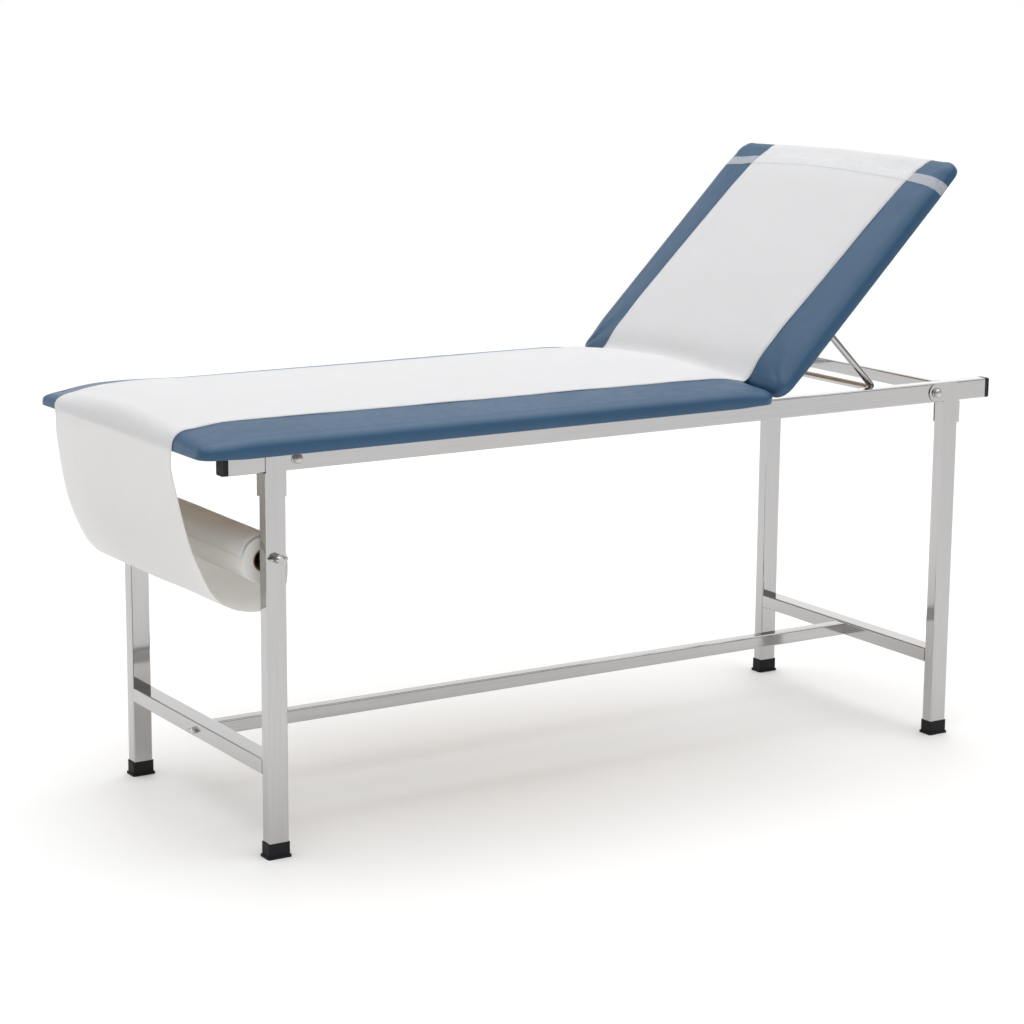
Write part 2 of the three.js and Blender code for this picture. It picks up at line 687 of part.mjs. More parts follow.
function propBracket(parent, label, side) {
  const lugY = PROP_HALF_WIDTH - PROP_RADIUS - 2.4;
  const lug = new THREE.Shape();
  lug.moveTo(-16, HINGE_DROP - GAP);
  lug.absarc(0, 0, 8, Math.PI, 2 * Math.PI, false);
  lug.lineTo(16, HINGE_DROP - GAP);
  const flange = block(-20, 20, 222, lugY + 1.5, HINGE_DROP - 2.8, HINGE_DROP - GAP);
  const lugPlate = extrude(lug, SHEET_METAL, "y", 5).translate(0, lugY, 0);
  const hole = cylinder(PROP_PIN_RADIUS + 0.4, 20, "y").translate(0, lugY, 0);
  const bracket = cut(join(lugPlate, flange), hole);
  const group = groupAt(parent, PROP_LENGTH, 0, 0);
  group.scale.y = side;
  add(group, `prop_bracket_${label}`, bracket, ZINC);
  const pin = join(
    cylinder(PROP_PIN_RADIUS, 22, "y", 16).translate(0, lugY + 8, 0),
    cylinder(4.2, 2.4, "y", 16).translate(0, lugY - 3.2, 0),
  );
  add(group, `prop_pin_${label}`, pin, ZINC);
}

// A notched plate on a ledge that is welded to the rail. The foot bar rests in its notches.
function propRack(label, side) {
  const crest = HINGE_Z - PROP_RADIUS - 0.35;
  const start = RACK_FIRST - RACK_MARGIN;
  const end = RACK_FIRST + (RACK_NOTCHES - 1) * RACK_PITCH + RACK_MARGIN;
  const plate = new THREE.Shape();
  plate.moveTo(start, RACK_BOTTOM);
  plate.lineTo(start, crest);
  for (let n = 0; n < RACK_NOTCHES; n++) {
    const x = RACK_FIRST + n * RACK_PITCH;
    plate.lineTo(x - 7, crest);
    plate.lineTo(x - 5, crest - 8);
    plate.lineTo(x + 5, crest - 8);
    plate.lineTo(x + 11, crest);
  }
  plate.lineTo(end, crest);
  plate.lineTo(end, RACK_BOTTOM);
  const ledge = block(
    start,
    end,
    RACK_Y,
    INNER_Y - GAP,
    RACK_BOTTOM,
    RACK_BOTTOM + SHEET_METAL,
  );
  const rack = join(extrude(plate, SHEET_METAL, "y").translate(0, RACK_Y, 0), ledge);
  const group = groupAt(table, HINGE_X, 0, 0);
  group.scale.y = side;
  add(group, `prop_rack_${label}`, rack, STEEL);
}

// ---- Assembly ----
sideRail("side_rail_near", -1);
sideRail("side_rail_far", 1);
crossTube("cross_tube_foot", -(HALF_SPAN - 35.5));
crossTube("cross_tube_hinge", HINGE_TUBE_X);
crossTube("cross_tube_head", HALF_SPAN - 35.5);
for (const end of [-1, 1]) for (const side of [-1, 1]) corner(end, side);
lowBar("low_bar_foot", -1);
lowBar("low_bar_head", 1);
stretcher();
wingScrew("foot", -1);
wingScrew("head", 1);
wingNut("roll_wing_nut_near", -1);
wingNut("roll_wing_nut_far", 1);
paperRoll();

const seat = groupAt(table, HINGE_X - PAD_OFF, 0, SEAT_Z);
seat.rotation.z = Math.PI;
pad(seat, "seat", SEAT);
seatSheet(seat);

const hinge = groupAt(table, HINGE_X, 0, HINGE_Z);
hingeLeaf(hinge, "hinge_fixed_leaf", -1, 0);
add(hinge, "hinge_pin", cylinder(HINGE_PIN_RADIUS, HINGE_LENGTH + 4, "y", 12), ZINC);

const backrest = groupAt(hinge, 0, 0, 0);
backrest.rotation.y = -TILT;
hingeLeaf(backrest, "hinge_moving_leaf", 1, 1);
const backPad = groupAt(backrest, PAD_OFF, BACK_SHIFT, HINGE_DROP + GAP);
pad(backPad, "backrest", BACK);
backSheet(backPad);
paperStrap(backPad);
const prop = groupAt(backrest, PROP_LENGTH, 0, 0);
prop.rotation.y = 2 * TILT;
propFrame(prop);
for (const [label, side] of [["near", -1], ["far", 1]]) {
  propBracket(backrest, label, side);
  propRack(label, side);
}

// The table's own origin: on the floor, below the middle of the raised table's outline.
table.updateMatrixWorld(true);
const outline = new THREE.Box3().setFromObject(table, true);
table.position.x = -(outline.min.x + outline.max.x) / 2;

export default table;
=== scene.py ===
"""Looks of the medical exam table: materials, padded covers, paper sheet, roll, light and camera.

Lengths are in metres. +X is the head end, -Y the near side, +Z up.
"""

import json
import math

import bmesh
import bpy
import numpy as np
from mathutils import Matrix, Vector, noise
from mathutils.bvhtree import BVHTree


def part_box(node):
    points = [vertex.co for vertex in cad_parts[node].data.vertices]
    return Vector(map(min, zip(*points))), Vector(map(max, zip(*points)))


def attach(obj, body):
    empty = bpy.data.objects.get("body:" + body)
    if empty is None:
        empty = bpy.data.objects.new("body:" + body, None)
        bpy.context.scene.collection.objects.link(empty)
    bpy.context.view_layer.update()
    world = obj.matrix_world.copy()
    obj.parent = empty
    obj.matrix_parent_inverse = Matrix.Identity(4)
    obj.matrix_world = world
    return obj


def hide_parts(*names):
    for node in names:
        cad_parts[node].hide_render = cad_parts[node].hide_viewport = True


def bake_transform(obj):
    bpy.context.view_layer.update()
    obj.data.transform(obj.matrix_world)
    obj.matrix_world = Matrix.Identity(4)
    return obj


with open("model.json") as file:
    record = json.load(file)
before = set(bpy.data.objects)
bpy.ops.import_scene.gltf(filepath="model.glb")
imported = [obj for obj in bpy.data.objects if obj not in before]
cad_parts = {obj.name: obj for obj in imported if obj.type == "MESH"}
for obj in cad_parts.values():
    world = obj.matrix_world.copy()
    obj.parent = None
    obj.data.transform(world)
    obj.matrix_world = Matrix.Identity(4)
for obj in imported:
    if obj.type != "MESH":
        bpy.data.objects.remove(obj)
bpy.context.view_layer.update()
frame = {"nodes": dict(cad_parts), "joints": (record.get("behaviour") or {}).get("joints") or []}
NODES = frame["nodes"]
JOINTS = {joint["name"]: joint for joint in frame["joints"]}
CORNERS = ["foot_near", "foot_far", "head_near", "head_far"]

# ---- Places read from the frame ----
HINGE = Vector(JOINTS["backrest_tilt"]["pos_m"])
PROP_PIVOT = Vector(JOINTS["prop_swing"]["pos_m"])
ROLL_AXIS = Vector(JOINTS["paper_roll_spin"]["pos_m"])
TILT = math.radians(45)
LEG_FACE_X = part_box("leg_foot_near")[0].x

# ---- Pad shape ----
PAD_OFF = 0.0125  # from the hinge line to a pad's end
BOARD_DROP = 0.0078  # from the hinge line up to the board's underside
CROWN = 0.0525  # height of a pad's middle above the board's underside
EDGE_TOP = 0.0316  # height of the upper face where the rounded edge begins
INSET = 0.030  # width of that rounded edge in plan
WALL = 0.0140  # height of the upright wall under it
LIP = 0.0034  # how far the rounded lip hangs below the board
HEM_SHARE = 0.1
HEM_DEPTH = 0.0001
DOME_POWER = 1.6
SWELL = 0.0045  # largest swelling kept from the cloth run
QUARTER_RINGS = 8
GRID_STEP = 0.0155
END_REACH = 0.08  # length over which a pad's middle rises or falls at its ends
ARC_STEPS = 4  # side points that make up half a rounded corner
ARC_FADE = 3  # further points that slide back to even spacing
END_CENTRE = (0.034, 0.018)  # in from the free end and up, where its rounding is centred

# ---- Sheet ----
SHEET_HALF = 0.25
SHEET_LIFT = 0.0006
SHEET_THICK = 0.0004
SHEET_SHIFT = 0.017
CREASE_REACH = 0.075  # from a pad's hinge end to where the sheet lies flat on it
SHEET_MIDDLE = 0.002  # the sheet's middle at the hinge, towards the far side
SEAT_DRIFT = 0.015  # sideways, from the hinge to the foot end
BACK_DRIFT = -0.031  # sideways, from the hinge to the backrest's top
SHEET_COLUMNS = 41
LOOP_POINTS = 64
LOOP_DRIFT = -0.020  # sideways, from the pad's end to the roll

# ---- Clear band ----
STRAP_FROM = 0.524  # from the backrest's hinge end
STRAP_WIDTH = 0.024
STRAP_OVER_PAPER = 0.0019
STRAP_OVER_VINYL = 0.0011
PAPER_EDGE = 0.262

# ---- Prop ----
PROP_RADIUS = 0.0068
PROP_BEND = 0.018


# ---- Node helpers ----
class Nodes:
    """A material's node tree, built by short calls."""

    def __init__(self, name):
        self.material = bpy.data.materials.new(name)
        self.material.use_nodes = True
        self.tree = self.material.node_tree
        self.shader = self.tree.nodes["Principled BSDF"]

    def add(self, kind, **settings):
        node = self.tree.nodes.new(kind)
        for key, value in settings.items():
            if hasattr(node, key):
                setattr(node, key, value)
            else:
                node.inputs[key.replace("_", " ")].default_value = value
        return node

    def link(self, source, target):
        self.tree.links.new(source, target)

    def set(self, **values):
        for key, value in values.items():
            self.shader.inputs[key.replace("_", " ")].default_value = value

    def place(self, scale=(1, 1, 1)):
        coords = self.add("ShaderNodeTexCoord")
        mapping = self.add("ShaderNodeMapping")
        mapping.inputs["Scale"].default_value = scale
        self.link(coords.outputs["Object"], mapping.inputs["Vector"])
        return mapping.outputs["Vector"]

    def noise(self, scale, detail=3.0, stretch=(1, 1, 1)):
        node = self.add("ShaderNodeTexNoise")
        node.inputs["Scale"].default_value = scale
        node.inputs["Detail"].default_value = detail
        node.inputs["Roughness"].default_value = 0.55
        self.link(self.place(stretch), node.inputs["Vector"])
        return node.outputs["Fac"]

    def cells(self, scale, feature="F1"):
        node = self.add("ShaderNodeTexVoronoi")
        node.feature = feature
        node.inputs["Scale"].default_value = scale
        self.link(self.place(), node.inputs["Vector"])
        return node.outputs["Distance"]

    def ramp(self, source, stops):
        node = self.add("ShaderNodeValToRGB")
        elements = node.color_ramp.elements
        while len(elements) < len(stops):
            elements.new(0.5)
        for element, (place, colour) in zip(elements, stops):
            element.position = place
            element.color = (*colour, 1)
        self.link(source, node.inputs["Fac"])
        return node.outputs["Color"]

    def spread(self, source, low, high, start=0.0, stop=1.0):
        node = self.add("ShaderNodeMapRange")
        node.inputs["From Min"].default_value = start
        node.inputs["From Max"].default_value = stop
        node.inputs["To Min"].default_value = low
        node.inputs["To Max"].default_value = high
        self.link(source, node.inputs["Value"])
        return node.outputs["Result"]

    def bump(self, source, distance, strength=1.0, after=None):
        node = self.add("ShaderNodeBump")
        node.inputs["Distance"].default_value = distance
        node.inputs["Strength"].default_value = strength
        self.link(source, node.inputs["Height"])
        if after:
            self.link(after, node.inputs["Normal"])
        return node.outputs["Normal"]

    def mix(self, factor, first, second):
        node = self.add("ShaderNodeMix", data_type="RGBA")
        factor_socket, first_socket, second_socket = (node.inputs[k] for k in (0, 6, 7))
        pairs = ((factor_socket, factor), (first_socket, first), (second_socket, second))
        for socket, value in pairs:
            if isinstance(value, (int, float)):
                socket.default_value = value
            elif isinstance(value, tuple):
                socket.default_value = (*value, 1)
            else:
                self.link(value, socket)
        return node.outputs[2]

    def to(self, source, name):
        self.link(source, self.shader.inputs[name])


# ---- Materials ----
def steel(name, along):
    """Polished stainless tube with faint drawing lines along its length."""
    n = Nodes(name)
    stretch = [40.0, 40.0, 40.0]
    stretch["xyz".index(along)] = 0.8
    lines = n.noise(9.0, 3.0, stretch)
    cloud = n.noise(2.4, 2.0)
    smear = n.noise(11.0, 3.0)
    light = (0.49, 0.485, 0.485)
    dark = (0.455, 0.45, 0.45)
    warm = (0.49, 0.47, 0.46)
    base = n.ramp(lines, [(0.35, dark), (0.6, light)])
    tinted = n.mix(n.spread(cloud, 0.0, 0.5, 0.4, 0.7), base, warm)
    n.to(tinted, "Base Color")
    n.set(Metallic=1.0, Anisotropic=0.3)
    n.to(n.spread(smear, 0.07, 0.13, 0.3, 0.75), "Roughness")
    n.to(n.bump(lines, 0.00001, 0.1), "Normal")
    return n.material


def zinc(name):
    n = Nodes(name)
    grain = n.noise(420.0, 3.0)
    patch = n.noise(60.0, 2.0)
    n.to(n.ramp(patch, [(0.35, (0.42, 0.42, 0.41)), (0.65, (0.6, 0.6, 0.585))]), "Base Color")
    n.set(Metallic=1.0)
    n.to(n.spread(grain, 0.24, 0.42, 0.3, 0.7), "Roughness")
    n.to(n.bump(grain, 0.00004, 0.5), "Normal")
    return n.material


def vinyl(name):
    """Artificial leather: rounded pebbles about a millimetre across, finer wrinkles between."""
    n = Nodes(name)
    pebbles = n.cells(950.0)
    creases = n.cells(520.0, "DISTANCE_TO_EDGE")
    tone = n.noise(7.0, 3.0)
    wear = n.noise(38.0, 4.0)
    blue = n.ramp(tone, [(0.3, (0.019, 0.070, 0.142)), (0.7, (0.025, 0.082, 0.162))])
    n.to(n.mix(n.spread(pebbles, 0.0, 0.25), blue, (0.055, 0.12, 0.205)), "Base Color")
    n.to(n.spread(wear, 0.34, 0.44, 0.3, 0.7), "Roughness")
    n.set(Specular_IOR_Level=0.42)
    fine = n.bump(pebbles, 0.00012, 0.45)
    n.to(n.bump(creases, 0.0001, 0.25, fine), "Normal")
    return n.material


def paper(name):
    """Smooth exam paper: faint fibre mottling, and light that shines through the thin sheet."""
    n = Nodes(name)
    fibre = n.noise(900.0, 4.0, (1, 0.35, 1))
    mottle = n.noise(22.0, 3.0)
    white = [(0.3, (0.93, 0.93, 0.95)), (0.7, (0.96255, 0.96255, 0.98325))]
    n.to(n.ramp(mottle, white), "Base Color")
    n.set(Roughness=0.82, Specular_IOR_Level=0.25)
    soft = n.bump(mottle, 0.0012, 0.18)
    grain = n.bump(fibre, 0.00006, 0.35, soft)
    n.to(grain, "Normal")
    glow = n.add("ShaderNodeBsdfTranslucent")
    glow.inputs["Color"].default_value = (1.0, 0.99, 0.95, 1)
    n.link(grain, glow.inputs["Normal"])
    both = n.add("ShaderNodeMixShader")
    both.inputs["Fac"].default_value = 0.46
    n.link(n.shader.outputs["BSDF"], both.inputs[1])
    n.link(glow.outputs["BSDF"], both.inputs[2])
    n.link(both.outputs["Shader"], n.tree.nodes["Material Output"].inputs["Surface"])
    return n.material


def roll_paper(name):
    """The wound roll: rings of paper edges at its ends, plain paper round its outside."""
    n = Nodes(name)
    coords = n.add("ShaderNodeTexCoord")
    shift = n.add("ShaderNodeVectorMath", operation="SUBTRACT")
    shift.inputs[1].default_value = ROLL_AXIS
    flat = n.add("ShaderNodeVectorMath", operation="MULTIPLY")
    flat.inputs[1].default_value = (1, 0, 1)
    radius = n.add("ShaderNodeVectorMath", operation="LENGTH")
    n.link(coords.outputs["Object"], shift.inputs[0])
    n.link(shift.outputs["Vector"], flat.inputs[0])
    n.link(flat.outputs["Vector"], radius.inputs[0])
    rings = n.add("ShaderNodeTexNoise", noise_dimensions="1D")
    rings.inputs["Scale"].default_value = 1400.0
    rings.inputs["Detail"].default_value = 3.0
    n.link(radius.outputs["Value"], rings.inputs["W"])
    fac = rings.outputs["Fac"]
    n.to(n.ramp(fac, [(0.35, (0.74, 0.73, 0.70)), (0.62, (0.90, 0.895, 0.875))]), "Base Color")
    n.set(Roughness=0.85, Specular_IOR_Level=0.2)
    n.to(n.bump(fac, 0.0003, 0.5), "Normal")
    return n.material


def cardboard(name):
    n = Nodes(name)
    fibre = n.noise(500.0, 4.0, (1, 0.2, 1))
    n.to(n.ramp(fibre, [(0.3, (0.27, 0.19, 0.11)), (0.7, (0.42, 0.31, 0.19))]), "Base Color")
    n.set(Roughness=0.9)
    n.to(n.bump(fibre, 0.0001, 0.5), "Normal")
    return n.material


def plywood(name):
    """Rotary-cut veneer on the boards' undersides: long wavy figure and fine pores."""
    n = Nodes(name)
    figure = n.noise(5.0, 5.0, (0.35, 3.2, 1))
    pores = n.noise(240.0, 3.0, (0.05, 1, 1))
    colour = n.ramp(
        figure,
        [(0.3, (0.34, 0.22, 0.115)), (0.5, (0.50, 0.36, 0.2)), (0.72, (0.60, 0.455, 0.28))],
    )
    n.to(n.mix(n.spread(pores, 0.0, 0.5, 0.55, 0.7), colour, (0.25, 0.155, 0.08)), "Base Color")
    n.set(Roughness=0.72)
    n.to(n.bump(pores, 0.0001, 0.5), "Normal")
    return n.material


def dark_polymer(name, colour, roughness, grain, depth):
    n = Nodes(name)
    texture = n.noise(grain, 4.0)
    lighter = tuple(c * 1.7 + 0.003 for c in colour)
    n.to(n.ramp(texture, [(0.35, colour), (0.75, lighter)]), "Base Color")
    n.to(n.spread(texture, roughness - 0.07, roughness + 0.1, 0.3, 0.7), "Roughness")
    n.to(n.bump(texture, depth, 0.5), "Normal")
    n.set(Specular_IOR_Level=0.25)
    return n.material


def clear_band(name):
    """Thin milky elastic band, ribbed along its length."""
    n = Nodes(name)
    ribs = n.noise(700.0, 2.0, (1, 0.02, 1))
    n.to(n.ramp(ribs, [(0.35, (0.90, 0.91, 0.93)), (0.65, (0.95, 0.955, 0.97))]), "Base Color")
    n.set(Roughness=0.45, Alpha=0.24, Specular_IOR_Level=0.4)
    n.to(n.bump(ribs, 0.0001, 0.4), "Normal")
    return n.material


STEEL = {axis: steel(f"steel_along_{axis}", axis) for axis in "xyz"}
ZINC = zinc("zinc_plate")
VINYL = vinyl("blue_vinyl")
PAPER = paper("exam_paper")
ROLL_PAPER = roll_paper("wound_paper")
CARDBOARD = cardboard("core_board")
PLYWOOD = plywood("board_veneer")
PLASTIC = dark_polymer("cap_plastic", (0.008, 0.0085, 0.0095), 0.42, 700.0, 0.00005)
RUBBER = dark_polymer("foot_rubber", (0.007, 0.0075, 0.009), 0.62, 420.0, 0.00012)
BAND = clear_band("clear_band")


# ---- Mesh helpers ----
def new_object(name, vertices, faces, material, smooth=True):
    mesh = bpy.data.meshes.new(name)
    mesh.from_pydata([tuple(v) for v in vertices], [], faces)
    mesh.validate()
    mesh.materials.append(material)
    mesh.polygons.foreach_set("use_smooth", [smooth] * len(mesh.polygons))
    obj = bpy.data.objects.new(name, mesh)
    bpy.context.scene.collection.objects.link(obj)
    return obj


def face_out(obj):
    tool = bmesh.new()
    tool.from_mesh(obj.data)
    bmesh.ops.recalc_face_normals(tool, faces=tool.faces)
    tool.to_mesh(obj.data)
    tool.free()


def sharpen(obj, degrees=35):
    obj.data.polygons.foreach_set("use_smooth", [True] * len(obj.data.polygons))
    obj.data.set_sharp_from_angle(angle=math.radians(degrees))


def bevel(obj, width, segments):
    modifier = obj.modifiers.new("edge", "BEVEL")
    modifier.width = width
    modifier.segments = segments
    modifier.limit_method = "ANGLE"
    modifier.angle_limit = math.radians(35)
    modifier.harden_normals = False


def settle(obj, body, slot_name, *nodes):
    """Lets obj stand for CAD nodes and, where a body is given, rides it on that body."""
    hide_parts(*nodes)
    if body:
        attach(obj, body)


def lathe(name, profile, centre, axis, material, segments=48):
    """Turned piece: profile of (radius, height) pairs that starts and ends on the axis."""
    turn = Vector(axis).to_track_quat("Z", "Y").to_matrix()
    vertices, faces = [], []
    rings = []
    for radius, height in profile:
        if radius < 1e-7:
            rings.append([len(vertices)])
            vertices.append(centre + turn @ Vector((0, 0, height)))
            continue
        first = len(vertices)
        rings.append(list(range(first, first + segments)))
        for i in range(segments):
            a = 2 * math.pi * i / segments
            spot = Vector((radius * math.cos(a), radius * math.sin(a), height))
            vertices.append(centre + turn @ spot)
    for low, high in zip(rings, rings[1:]):
        for i in range(segments):
            j = (i + 1) % segments
            corners = [low[i % len(low)], low[j % len(low)]]
            corners += [high[j % len(high)], high[i % len(high)]]
            face = list(dict.fromkeys(corners))
            if len(face) > 2:
                faces.append(face)
    obj = new_object(name, vertices, faces, material)
    face_out(obj)
    sharpen(obj, 40)
    return obj


def tube_ring(name, outer, inner, centre, half, material, segments=96):
    """Tube along Y with slightly eased rims."""
    ease = 0.0006
    profile = [
        (inner, -half + ease), (inner + ease, -half), (outer - ease, -half), (outer, -half + ease),
        (outer, half - ease), (outer - ease, half), (inner + ease, half), (inner, half - ease),
    ]
    vertices, faces = [], []
    for radius, height in profile:
        for i in range(segments):
            a = 2 * math.pi * i / segments
            vertices.append(centre + Vector((radius * math.cos(a), height, radius * math.sin(a))))
    count = len(profile)
    for k in range(count):
        for i in range(segments):
            j = (i + 1) % segments
            low, high = k * segments, ((k + 1) % count) * segments
            faces.append([low + i, low + j, high + j, high + i])
    obj = new_object(name, vertices, faces, material)
    face_out(obj)
    sharpen(obj, 40)
    return obj


def sweep(name, path, radii, material, sides=32):
    """Round bar along a path, closed at both ends."""
    vertices, faces = [], []
    for k, spot in enumerate(path):
        before, after = path[max(k - 1, 0)], path[min(k + 1, len(path) - 1)]
        along = (after - before).normalized()
        aside = along.cross(Vector((0, 0, 1)) if abs(along.z) < 0.95 else Vector((1, 0, 0)))
        aside.normalize()
        up = aside.cross(along)
        for i in range(sides):
            a = 2 * math.pi * i / sides
            vertices.append(spot + radii[k] * (math.cos(a) * aside + math.sin(a) * up))
    for k in range(len(path) - 1):
        for i in range(sides):
            j = (i + 1) % sides
            low, high = k * sides, (k + 1) * sides
            faces.append([low + i, low + j, high + j, high + i])
    faces.append(list(range(sides)))
    last = (len(path) - 1) * sides
    faces.append(list(range(last + sides - 1, last - 1, -1)))
    obj = new_object(name, vertices, faces, material)
    face_out(obj)
    sharpen(obj, 40)
    return obj


# ---- Pads ----
def spaced(length, step):
    """Distances along a side: close together at both corners, even between them."""
    near = [0, 0.0016, 0.0033, 0.0052, 0.0075, 0.0115, 0.018]
    count = max(2, round((length - 2 * near[-1]) / step))
    middle = [near[-1] + (length - 2 * near[-1]) * i / count for i in range(1, count)]
    return near + middle + [length - d for d in reversed(near)]


def outline_place(distances, i):
    """Where side point i goes on the pad's outline: (along the side, angle from its normal)."""
    last = len(distances) - 1
    k = min(i, last - i)
    if k <= ARC_STEPS:
        angle = math.radians(45) * (1 - k / ARC_STEPS)
        return (0 if i <= last - i else distances[last]), (-angle if i <= last - i else angle)
    slide = distances[ARC_STEPS] * max(0, 1 - (k - ARC_STEPS) / ARC_FADE)
    return distances[i] - (slide if i < last - i else -slide), 0.0


class Pad:
    """A padded cover in its own frame: s from the hinge end, y across, z up from the board.

    Its traits are: height at the hinge end, bulge of that end, swelling near the free end,
    fall of the middle towards the free end, and how much lower the far edge is.
    """

    def __init__(self, label, origin, ahead, up, side, length, half, traits):
        self.label, self.length, self.half = label, length, half
        self.end_height, self.end_bulge, self.hump, self.end_fall, self.far_drop = traits
        self.far_sign = 1 if side.y > 0 else -1
        rows = [[ahead[r], side[r], up[r], origin[r]] for r in range(3)]
        self.to_world = Matrix(rows + [[0, 0, 0, 1]])
        self.from_world = self.to_world.inverted()

    def dome(self, s, y):
        """Height of the upper face inside the pad's rounded edges."""
        across = 1 - min(abs(y) / (self.half - INSET), 1) ** DOME_POWER
        rise = 1 - max(0, 1 - s / END_REACH) ** 2.2
        fall = max(0, 1 - (self.length - INSET - s) / END_REACH) ** 2
        peak = CROWN - self.end_fall * fall
        middle = min(self.end_height + (CROWN - self.end_height) * rise, peak)
        far = min(1, max(0, 0.5 + self.far_sign * y / self.half))
        edge = EDGE_TOP - 0.004 * max(0, 1 - (s - INSET) / 0.07) ** 2
        edge -= self.far_drop * far + (0.004 + self.hump * far) * fall
        height = edge + (middle - edge) * across
        swell = math.exp(-(((self.length - 0.15 - s) / 0.09) ** 2))
        return height + self.hump * 0.6 * swell * (0.2 + 0.8 * far)

    def build(self):
        along = spaced(self.length - 2 * INSET, GRID_STEP)
        across = spaced(2 * (self.half - INSET), GRID_STEP)
        rows, columns = len(along), len(across)
        vertices, faces, index = [], [], {}
        for r in range(rows):
            for c in range(columns):
                s, y = INSET + along[r], across[c] - (self.half - INSET)
                index[r, c] = len(vertices)
                vertices.append(Vector((s, y, self.dome(s, y))))
        for r in range(rows - 1):
            for c in range(columns - 1):
                faces.append([index[r, c], index[r + 1, c], index[r + 1, c + 1], index[r, c + 1]])
        ring, targets = self.boundary(along, across, index)
        self.top_count = len(vertices)
        self.ring_count = len(ring)
        previous = ring
        for profile_row in self.edge_profile():
            current = []
            for vertex, target in zip(ring, targets):
                current.append(len(vertices))
                vertices.append(self.ring_point(vertices[vertex], target, profile_row))
            for i in range(len(ring)):
                j = (i + 1) % len(ring)
                faces.append([previous[i], previous[j], current[j], current[i]])
            previous = current
        self.vertices, self.faces = vertices, faces

    def boundary(self, along, across, index):
        """The grid's border in order, each point with its base, outward normal and drop."""
        rows, columns = len(along), len(across)
        s0, s1 = INSET, self.length - INSET
        y0, y1 = INSET - self.half, self.half - INSET
        x, y = Vector((1, 0, 0)), Vector((0, 1, 0))
        hinge_end = [index[0, c] for c in range(columns)]
        right = [index[r, columns - 1] for r in range(rows)]
        free_end = [index[rows - 1, c] for c in reversed(range(columns))]
        left = [index[r, 0] for r in reversed(range(rows))]
        sides = [
            (hinge_end, across, Vector((s0, y0, 0)), y, -x),
            (right, along, Vector((s0, y1, 0)), x, y),
            (free_end, across, Vector((s1, y1, 0)), -y, x),
            (left, along, Vector((s1, y0, 0)), -x, -y),
        ]
        ring, targets = [], []
        for members, distances, corner, heading, normal in sides:
            for i in range(len(members) - 1):
                place, angle = outline_place(distances, i)
                base = corner + heading * place
                out = normal * math.cos(angle) + heading * math.sin(angle)
                ring.append(members[i])
                targets.append((base, out, min(1, (base.x - s0) / 0.05, (s1 - base.x) / 0.05)))
        return ring, targets

    def edge_profile(self):
        """Rows from the upper face round the edge, down the wall, round the lip, under the board.

        Each row: share of the reach, blend from the grid to the outline, share of the height
        above the wall (or None), height, share of the end bulge.
        """
        rows = []
        for k in range(1, QUARTER_RINGS + 1):
            angle = math.radians(90) * k / QUARTER_RINGS
            blend = 0.25 + 0.75 * k / QUARTER_RINGS
            rows.append((math.sin(angle) / blend, blend, math.cos(angle), None, 1.0))
        rows.append((1.012, 1.0, None, 0.0095, 0.30))
        rows.append((1.012, 1.0, None, 0.0045, 0.05))
        rows.append((1.0, 1.0, None, 0.0005, 0.0))
        for share, depth in ((0.955, 0.6), (0.86, 1.0), (0.72, 0.8)):
            rows.append((share, 1.0, None, -depth * LIP, 0.0))
        for share in (0.45, HEM_SHARE):
            rows.append((share, 1.0, None, -HEM_DEPTH, 0.0))
        return rows

    def ring_point(self, start, target, profile_row):
        base, out, drop = target
        share, blend, above_wall, height, bulge = profile_row
        middle = max(0, -out.x) * max(0, 1 - (abs(base.y) / self.half) ** 6)
        reach = INSET * share + self.end_bulge * middle * bulge * min(share, 1)
        far_foot = self.hump * max(0, out.x) * max(0, -base.y / self.half) ** 2
        spot = base + out * (reach + far_foot * min(share, 1))
        mixed = Vector((start.x, start.y, 0)).lerp(Vector((spot.x, spot.y, 0)), blend)
        wall = WALL - 0.002 * (1 - drop)
        if above_wall is not None:
            height = wall + (start.z - wall) * above_wall
        elif height < 0:
            height = -HEM_DEPTH + (height + HEM_DEPTH) * drop
        return Vector((mixed.x, mixed.y, height))

    def make(self, material):
        self.build()
        world = [self.to_world @ v for v in self.vertices]
        obj = new_object(f"{self.label}_vinyl", world, self.faces, material)
        face_out(obj)
        self.inflate(obj)
        self.ease(obj)
        surface = bmesh.new()
        surface.from_mesh(obj.data)
        self.tree = BVHTree.FromBMesh(surface)
        surface.free()
        self.object = obj
        return obj

    def inflate(self, obj):
        """Cloth run: the cover swells against its stapled hem. The swelling is then scaled."""
        start = [v.co.copy() for v in obj.data.vertices]
        held = obj.vertex_groups.new(name="held")
        first = self.top_count + (QUARTER_RINGS + 2) * self.ring_count
        held.add(list(range(first, len(start))), 1.0, "REPLACE")
        cloth = obj.modifiers.new("cloth", "CLOTH")
        settings = cloth.settings
        settings.quality = 5
        settings.mass = 0.35
        settings.tension_stiffness = 40
        settings.compression_stiffness = 40
        settings.shear_stiffness = 20
        settings.bending_stiffness = 6
        settings.use_pressure = True
        settings.uniform_pressure_force = 4.0
        settings.effector_weights.gravity = 0
        settings.vertex_group_mass = "held"
        cloth.collision_settings.use_collision = False
        scene = bpy.context.scene
        cloth.point_cache.frame_start = 1
        cloth.point_cache.frame_end = 20
        for step in range(1, 21):
            scene.frame_set(step)
        shape = obj.evaluated_get(bpy.context.evaluated_depsgraph_get()).to_mesh()
        moved = [v.co.copy() for v in shape.vertices]
        obj.modifiers.remove(cloth)
        scene.frame_set(1)
        steps = [after - before for before, after in zip(start, moved)]
        scale = min(1, SWELL / max(step.length for step in steps))
        for vertex, before, step in zip(obj.data.vertices, start, steps):
            vertex.co = before + step * scale

